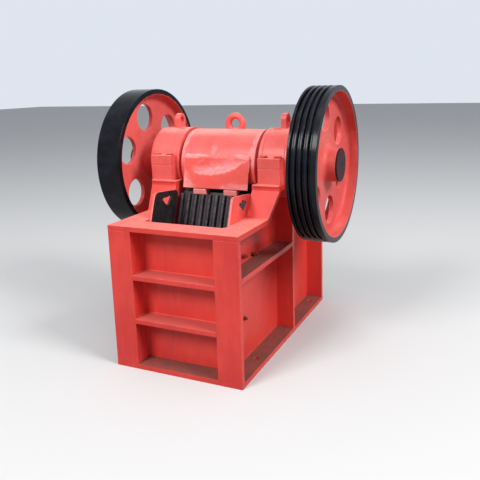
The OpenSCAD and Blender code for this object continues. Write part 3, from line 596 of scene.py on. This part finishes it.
def cheek_paint():
    """Enamel on the outer face and the edges, black on the inner face up to a wavering border that
    keeps about 4 mm away from the front, upper and rear edges and is round at the corners. The black
    also runs through the hole and a few millimetres round it."""
    material, tree, shader, place = new_material("cheek_paint")
    layer = enamel_layer(tree, place, CASTING_TONES, {"Rub Amount": 0.7, "Dust Amount": 0.3}).outputs
    skin = cast_skin(tree, place, *BRUSHED_BLACK)
    front, upper, rear = (lean_depth(tree, place, *edge) for edge in (CHEEK_FRONT, CHEEK_UPPER, CHEEK_REAR))
    inside = maths(tree, "SMOOTH_MIN", maths(tree, "SMOOTH_MIN", front, upper, 0.06), rear, 0.04)
    border = maths(tree, "MULTIPLY_ADD", noise(tree, place, 16.0, 4.0, 0.6), 0.012, -0.006)
    reach = remap(tree, maths(tree, "SUBTRACT", inside, border), -0.001, 0.002)
    across = maths(tree, "ABSOLUTE", parted(tree, place)["X"])
    face = maths(tree, "MULTIPLY", reach, remap(tree, across, *INNER_FACE_X, 1.0, 0.0))
    near = from_line(tree, place, *CHEEK_HOLE)
    wall = maths(tree, "MULTIPLY", remap(tree, near, 0.042, 0.043, 1.0, 0.0),
                 remap(tree, across, *OUTER_FACE_X, 1.0, 0.0))
    rim = remap(tree, maths(tree, "ADD", near, border), 0.022, 0.025, 1.0, 0.0)
    black = maths(tree, "MAXIMUM", face, maths(tree, "MAXIMUM", rim, wall))
    link_surface(tree, layer, shader)
    tree.links.new(blend_colour(tree, black, layer["Color"], skin["Color"]), shader.inputs["Base Color"])
    return material


swing_liner = liner_steel("swing_jaw_steel", SWING_TIPS, FACE_NORMAL)
fixed_liner = liner_steel("fixed_jaw_steel", FIXED_TIPS, (-1, 0))
show_node("swing_jaw_plate", "swing_liner", "swing_assembly", swing_liner, "jaw_steel", LINER_BLUNT, 3)
show_node("fixed_jaw_plate", "fixed_liner", "frame", fixed_liner, "jaw_steel", LINER_BLUNT, 3)
cheek_material = cheek_paint()
for node in ("cheek_plate_left", "cheek_plate_right"):
    show_node(node, node + "_liner", "frame", cheek_material, "cheek_steel", 0.003)
cheek_bolts = [hex_nut((WALL_X, y, z), (1, 0, 0), 0.017, 0.009, stud=0.010, turn=0.4 * k)
               for k, (y, z) in enumerate(WALL_BOLTS)]
bolt_black = cast_material("bolt_black", (0.035, 0.010, 0.010, 1), (0.30, 0.035, 0.030, 1), 260.0)
bolted("cheek_bolts", mirrored(cheek_bolts), bolt_black, "shaft_steel")

# The swing jaw: one steel casting that hangs by its head on the eccentric. Enamelled above, black
# on its lower front, below the head. A bent guard sheet is welded on its head.
HEAD_Y, HEAD_Z, HEAD_R = 0.011, 0.938, 0.185
CHALK_PINK = (0.97, 0.48, 0.49, 1)
GUARD_TONES = (0.85, 0.112, 0.088, 1), (0.77, 0.078, 0.060, 1), CHALK_PINK
CLAMP_TONES = (0.92, 0.29, 0.27, 1), (0.85, 0.20, 0.185, 1), CHALK_PINK
BLACK_LEVEL, BLACK_DEPTH = (0.872, 0.880), (0.080, 0.095)


def reopened(material):
    """The node tree, the object coordinates and the enamel group of a finished enamel."""
    tree = material.node_tree
    return tree, tree.nodes["Texture Coordinate"].outputs["Object"], tree.nodes["enamel"]


def swing_paint():
    """Enamel, black on the jaw's front below its head, with chalk where the head's ends rub and in a
    short stroke down the middle of its front."""
    # The casting film on the jaw's up-facing faces is partly painted sheen.
    material = enamel("swing_enamel", 0.5, 0.7, CASTING_FILM_AND_SHEEN, (5, 6, 6), CASTING_TONES)
    tree, place, layer = reopened(material)
    black_skin = cast_skin(tree, place, *BRUSHED_BLACK)
    spot = parted(tree, place)
    level = maths(tree, "MULTIPLY_ADD", noise(tree, place, 14.0, 4.0), 0.03, spot["Z"])
    behind_tips = lean_depth(tree, place, SWING_TIPS, FACE_NORMAL)
    black = maths(tree, "MULTIPLY", remap(tree, level, *BLACK_LEVEL, 1.0, 0.0),
                  remap(tree, behind_tips, *BLACK_DEPTH, 1.0, 0.0))
    tree.links.new(blend_colour(tree, black, layer.outputs["Color"], black_skin["Color"]),
                   tree.nodes["Principled BSDF"].inputs["Base Color"])
    wander = maths(tree, "MULTIPLY_ADD", noise(tree, place, 20.0, 5.0, 0.65), 0.05, -0.025)
    off_middle = maths(tree, "ADD", maths(tree, "ABSOLUTE", spot["X"]), wander)
    ends = remap(tree, off_middle, 0.178, 0.198, 0.0, 0.8)
    off_stroke = maths(tree, "ADD", maths(tree, "ABSOLUTE", maths(tree, "ADD", spot["X"], 0.028)), wander)
    stroke = maths(tree, "MULTIPLY", remap(tree, off_stroke, 0.006, 0.024, 0.55, 0.0),
                   remap(tree, spot["Z"], 1.035, 1.060, 1.0, 0.0))
    marks = maths(tree, "MULTIPLY", maths(tree, "MAXIMUM", ends, stroke), remap(tree, spot["Z"], 0.93, 0.96))
    marks = maths(tree, "MULTIPLY", marks, remap(tree, spot["Y"], -0.08, 0.02, 1.0, 0.0))
    tree.links.new(marks, layer.inputs["Chalk And Highlight"])
    return material


def guard_paint():
    """Enamel with the chalky marks of the photograph. The pale crescent lies between the curve
    Z = 0.898 + 1.55 (X + 0.045)^2 and the line Z = 0.980 + 0.16 X, in metres; it is sharp below and soft
    above. Two faint patches lie in the lower corners and a rough line runs along the upper edge."""
    # The casting film on the guard's up-facing faces is partly painted sheen.
    material = enamel("guard_enamel", 0.5, 0.3, CASTING_FILM_AND_SHEEN, (4, 6, 6), GUARD_TONES)
    tree, place, layer = reopened(material)
    x, z = (parted(tree, place)[axis] for axis in "XZ")
    wander = maths(tree, "MULTIPLY_ADD", noise(tree, place, 26.0, 6.0, 0.68), 0.040, -0.020)
    drift = noise(tree, stretched(tree, place, (1.0, 1.0, 2.0)), 9.0, 4.0, 0.6, 0.8)
    drift = maths(tree, "MULTIPLY_ADD", drift, 0.10, -0.05)
    aside = maths(tree, "ADD", x, 0.045)
    under = maths(tree, "MULTIPLY_ADD", maths(tree, "MULTIPLY", aside, aside), 1.55, 0.898)
    below = remap(tree, maths(tree, "ADD", maths(tree, "SUBTRACT", z, under), wander), -0.002, 0.010)
    over = maths(tree, "MULTIPLY_ADD", x, 0.16, 0.980)
    above = remap(tree, maths(tree, "ADD", maths(tree, "SUBTRACT", over, z), drift), -0.012, 0.048)
    wandering_x = maths(tree, "ADD", x, wander)
    sides = maths(tree, "MULTIPLY", remap(tree, wandering_x, -0.158, -0.112),
                  remap(tree, wandering_x, 0.176, 0.190, 1.0, 0.3))
    crescent = maths(tree, "MULTIPLY", maths(tree, "MULTIPLY", below, above), sides)
    left = remap(tree, maths(tree, "ADD", maths(tree, "ADD", x, z), drift), 0.700, 0.750, 0.75, 0.0)
    right = maths(tree, "ADD", maths(tree, "SUBTRACT", z, maths(tree, "MULTIPLY", x, 0.20)), drift)
    right = maths(tree, "MULTIPLY", remap(tree, right, 0.818, 0.850, 0.5, 0.0), remap(tree, x, 0.0, 0.05))
    along = remap(tree, maths(tree, "ABSOLUTE", maths(tree, "SUBTRACT", x, 0.02)), 0.04, 0.13, 0.3, 0.9)
    top = maths(tree, "MULTIPLY", remap(tree, maths(tree, "ADD", z, wander), 0.984, 0.992), along)
    marks = maths(tree, "MAXIMUM", crescent, maths(tree, "MAXIMUM", left, right))
    tree.links.new(maths(tree, "MAXIMUM", marks, top), layer.inputs["Chalk And Highlight"])
    return material


swing_enamel = swing_paint()
guard_enamel = guard_paint()
clamp_enamel = enamel("clamp_enamel", 0.9, 0.6, CHALK_PINK, (9, 9, 5), CLAMP_TONES)
for node, name, material, bevel in (("swing_jaw", "swing_casting", swing_enamel, (0.004, 3)),
                                    ("head_guard", "guard_sheet", guard_enamel, (0.0025, 3)),
                                    ("jaw_clamps", "clamp_wedges", clamp_enamel, (0.004, 3))):
    show_node(node, name, "swing_assembly", material, "frame_paint", *bevel)

# The lifting ring, bar bent to a ring and welded on top of the head with a thick seam all round; the
# filler over the guard sheet's upper edge, dressed down to the head; and the seams beside the guard.
RING_CENTRE = np.array((0.0, 0.068, 1.147))
RING_MIDDLE, RING_WIRE = 0.042, 0.018
FOOT_HALF_X, FOOT_HALF_Y = 0.047, 0.021
FILLER_HALF_X, FILLER_SINK = 0.184, 0.002
SHEET_R, SHEET_END = 0.1932, 163.2
GUARD_X = 0.187
GUARD_EDGE = (-0.172, 0.995), (-0.176, 0.978), (-0.190, 0.915)


def bent_ring(steps=96, sides=28):
    """A torus: at the angle t round the ring and s round the bar, the bar's radius is
    18 mm * (0.985 - 0.015 sin(3 t) sin(2 s)), so hammering flattens it by up to 3 percent."""
    t, s = np.meshgrid(np.linspace(0, 2 * np.pi, steps, endpoint=False),
                       np.linspace(0, 2 * np.pi, sides, endpoint=False), indexing="ij")
    wire = RING_WIRE * (1 - 0.015 - 0.015 * np.sin(3 * t) * np.sin(2 * s))
    out = RING_MIDDLE + wire * np.cos(s)
    return RING_CENTRE + np.stack([out * np.cos(t), wire * np.sin(s), out * np.sin(t)], axis=-1)


def ring_foot(steps=60):
    """A seam round the ring's foot, on the head: an oval of 94 by 42 mm whose X follows the cosine of
    the angle to the power of 0.6, which draws its ends out square."""
    turn = np.linspace(0, 2 * np.pi, steps)
    x = FOOT_HALF_X * np.sign(np.cos(turn)) * np.abs(np.cos(turn)) ** 0.6
    y = RING_CENTRE[1] + FOOT_HALF_Y * np.sin(turn)
    return seam(np.stack([x, y, HEAD_Z + np.sqrt(HEAD_R ** 2 - (y - HEAD_Y) ** 2)], axis=1), 0.006)


def dressed_edge(rows=120, columns=14):
    """The filler that blends the guard's upper edge into the head: its height above the head falls from
    8 mm to nothing along a smooth step 3 u^2 - 2 u^3, over an angle of 5 to 7 degrees that drifts as
    6 + 0.6 sin(23 x) + 0.4 sin(61 x + 1) along the guard."""
    x = np.linspace(-FILLER_HALF_X, FILLER_HALF_X, rows)[:, None]
    u = np.linspace(0, 1, columns)[None, :]
    span = 6 + 0.6 * np.sin(23 * x) + 0.4 * np.sin(61 * x + 1)
    fade = 1 - (3 * u ** 2 - 2 * u ** 3)
    upper_angle = np.radians(SHEET_END - span * u)
    upper_r = HEAD_R - 0.0006 + (SHEET_R - HEAD_R + 0.0002) * fade + 0 * x
    lower_r = np.full_like(upper_r, HEAD_R - FILLER_SINK)
    angle = np.concatenate([upper_angle, upper_angle[:, ::-1]], axis=1)
    radius = np.concatenate([upper_r, lower_r], axis=1)
    return np.stack([x + 0 * angle, HEAD_Y + radius * np.cos(angle),
                     HEAD_Z + radius * np.sin(angle)], axis=-1)


finish_piece(shaped_piece("bent_lifting_ring", [bent_ring()], round_rows=True), "swing_assembly",
             swing_enamel, "frame_paint", "lifting_ring")
finish_piece(shaped_piece("guard_filler", [dressed_edge()]), "swing_assembly", guard_enamel, "frame_paint")
guard_side = seam([(GUARD_X, y, z) for y, z in GUARD_EDGE], 0.004)
finish_piece(shaped_piece("swing_seams", [ring_foot()] + mirrored([guard_side])),
             "swing_assembly", swing_enamel, "frame_paint")

# The wheels: grey iron castings, turned on the rim. Rims are black gloss paint, webs and hubs the
# orange-red enamel, which ends in a brushed border near the rim's edge. They hold the shaft by keys.
RED_EDGE_R, RED_EDGE_WANDER = 0.3684, 0.003
BELT_LAND_R = 0.3930, 0.3944
WHEEL_TONES = (0.84, 0.145, 0.124, 1), (0.72, 0.100, 0.090, 1), ENAMEL_RUBBED
GLOSS_BLACK = (0.002, 0.002, 0.003, 1), (0.011, 0.011, 0.017, 1)
# Grey for the lands between the belt grooves: a painted highlight along the ridges.
PAINTED_LAND_HIGHLIGHT = (0.013, 0.014, 0.018, 1)
KEYWAY_Y, KEYWAY_Z, KEYWAY_OFFSET = (0.020, 0.022), (0.005, 0.007), 0.012
# Painted shade for the keyway's slot in the shaft's end.
KEYWAY_PAINTED_SHADE = (0.002, 0.001, 0.001, 1)


def wheel_paint(name, land_highlight):
    """Enamel inside the radius where the rim's black gloss begins, paler in arcs round the axis as
    painted highlights, with a pale film on faces that look up that is partly painted sheen. The lands
    between the belt grooves, at the full radius of 395 mm, are painted grey as a painted highlight
    along the ridges, broken up by noise."""
    material, tree, shader, place = new_material(name)
    layer = enamel_layer(tree, place, WHEEL_TONES, {"Rub Amount": 0.5, "Dust Amount": 0.3,
                                                    "Dust And Sheen": PALE_FILM_AND_SHEEN, "Streaks": (7, 7, 7)})
    radius = from_line(tree, place, AXIS_Y, AXIS_Z)
    around = put(tree, "ShaderNodeCombineXYZ", {0: maths(tree, "MULTIPLY", radius, 9.0)}).outputs[0]
    # Pale arcs round the axis, fed to the chalk and highlight input: painted highlights, as the web's fillets
    # catch light.
    painted_highlight_arcs = noise(tree, vectors(tree, "ADD", around, place)["Vector"], 5.0, 5.0, 0.62)
    tree.links.new(remap(tree, painted_highlight_arcs, 0.54, 0.70, 0.0, 0.55), layer.inputs["Chalk And Highlight"])
    edge = maths(tree, "MULTIPLY_ADD", noise(tree, place, 26.0, 5.0, 0.6), 2 * RED_EDGE_WANDER,
                 RED_EDGE_R - RED_EDGE_WANDER)
    rim = remap(tree, maths(tree, "SUBTRACT", radius, edge), -0.0006, 0.0006)
    gloss = blend_colour(tree, remap(tree, noise(tree, place, 9.0, 6.0, 0.6), 0.35, 0.7), *GLOSS_BLACK)
    land = maths(tree, "MULTIPLY", remap(tree, radius, *BELT_LAND_R), land_highlight)
    highlight_breakup = remap(tree, noise(tree, place, 40.0, 5.0, 0.7), 0.30, 0.6, 0.35, 1.0)
    land = maths(tree, "MULTIPLY", land, highlight_breakup)
    gloss = blend_colour(tree, land, gloss, PAINTED_LAND_HIGHLIGHT)
    shine = maths(tree, "MULTIPLY_ADD", noise(tree, place, 60.0, 4.0), 0.16, 0.10)
    rough = put(tree, "ShaderNodeMix", {"Factor": rim, 2: layer.outputs["Roughness"], 3: shine}).outputs[0]
    tree.links.new(blend_colour(tree, rim, layer.outputs["Color"], gloss), shader.inputs["Base Color"])
    tree.links.new(rough, shader.inputs["Roughness"])
    tree.links.new(layer.outputs["Normal"], shader.inputs["Normal"])
    shader.inputs["Specular IOR Level"].default_value = 0.12
    return material


def disc_paint():
    """Black cast iron with a darker patch of 40 by 10 mm, 12 mm behind the shaft's axis: painted shade of the
    keyway's slot.
    """
    material, tree, shader, place = new_material("disc_black")
    skin = cast_skin(tree, place, (0.012, 0.004, 0.006, 1), (0.050, 0.016, 0.021, 1), 120.0)
    spot = parted(tree, vectors(tree, "SUBTRACT", place, (0, AXIS_Y + KEYWAY_OFFSET, AXIS_Z))["Vector"])
    y, z = (maths(tree, "ABSOLUTE", spot[axis]) for axis in "YZ")
    keyway_painted_shade = maths(tree, "MULTIPLY", remap(tree, y, *KEYWAY_Y, 1.0, 0.0), remap(tree, z, *KEYWAY_Z, 1.0, 0.0))
    link_surface(tree, skin, shader)
    tree.links.new(blend_colour(tree, keyway_painted_shade, skin["Color"], KEYWAY_PAINTED_SHADE), shader.inputs["Base Color"])
    shader.inputs["Specular IOR Level"].default_value = 0.1
    return material


show_node("flywheel", "flywheel_casting", "rotor", wheel_paint("flywheel_paint", 0.15), "wheel_paint",
          0.003, 3, 35)
show_node("drive_pulley", "pulley_casting", "rotor", wheel_paint("pulley_paint", 0.9), "wheel_paint",
          0.002, 2, 35)
disc_black = disc_paint()
for node in ("end_disc_left", "end_disc_right"):
    show_node(node, node + "_plate", "rotor", disc_black, "disc_steel", 0.003, 3)

# The bright and bare steel: the turned shaft, the bearing rings, the tension rod with its nut, the
# coiled spring, and the toggle plate and its seat as they leave the mould.
STAIN = 0.45, 0.38, 0.33
SPRING_TURNS, SPRING_R, SPRING_WIRE = 7.5, 0.041, 0.0069
SPRING_FOOT_Y, SPRING_Z = 0.453, 0.150


def turned_steel(name, tint, rough):
    """Oiled turned steel: fine rings round the X axis, and a film that stains it unevenly."""
    material, tree, shader, place = new_material(name)
    rings = noise(tree, stretched(tree, place, (900.0, 3.0, 3.0)), 1.0, 3.0, 0.6)
    stain = remap(tree, noise(tree, place, 11.0, 5.0, 0.6), 0.38, 0.68)
    stained = [tone * share for tone, share in zip(tint, STAIN)] + [1]
    tree.links.new(blend_colour(tree, stain, tint, stained), shader.inputs["Base Color"])
    shader.inputs["Metallic"].default_value = 1.0
    tree.links.new(maths(tree, "MULTIPLY_ADD", stain, 0.25, rough), shader.inputs["Roughness"])
    bump = put(tree, "ShaderNodeBump", {"Strength": 0.25, "Distance": 0.0003, "Height": rings})
    tree.links.new(bump.outputs["Normal"], shader.inputs["Normal"])
    return material


def coiled_spring(steps=360, sides=14):
    """A helix along Y from the rear wall to the washer. At the share v of its turns its height is
    7 mm + 136 mm (v - 0.144 sin(2 pi v) / (2 pi)), so that the turns at both ends lie close."""
    v = np.linspace(0, 1, steps)
    turn = 2 * np.pi * SPRING_TURNS * v
    height = 0.007 + 0.136 * (v - 0.144 * np.sin(2 * np.pi * v) / (2 * np.pi))
    centre = np.stack([SPRING_R * np.cos(turn), SPRING_FOOT_Y + height,
                       SPRING_Z + SPRING_R * np.sin(turn)], axis=1)
    outward = np.stack([np.cos(turn), turn * 0, np.sin(turn)], axis=1)
    s = np.linspace(0, 2 * np.pi, sides, endpoint=False)
    ring = np.cos(s)[None, :, None] * outward[:, None, :] + np.sin(s)[None, :, None] * np.array((0, 1, 0))
    return centre[:, None, :] + SPRING_WIRE * ring


shaft_steel = turned_steel("shaft_steel", (0.42, 0.41, 0.40, 1), 0.28)
bearing_steel = turned_steel("bearing_steel", (0.60, 0.59, 0.57, 1), 0.2)
toggle_iron = cast_material("toggle_iron", (0.07, 0.060, 0.052, 1), (0.17, 0.145, 0.125, 1))
show_node("eccentric_shaft", "turned_shaft", "rotor", shaft_steel, "shaft_steel", 0.002)
show_node("tension_rod", "rod_and_nut", "frame", shaft_steel, "shaft_steel", 0.0015, 2, 35)
for node in ("bearing_left", "bearing_right"):
    show_node(node, node + "_race", "frame", bearing_steel, "bearing_steel", 0.002)
for node in ("toggle_plate", "toggle_seat"):
    show_node(node, node + "_casting", "frame", toggle_iron, "toggle_iron", 0.003, 3)
finish_piece(shaped_piece("coiled_spring", [coiled_spring()]), "frame", shaft_steel,
             "shaft_steel", "tension_spring")
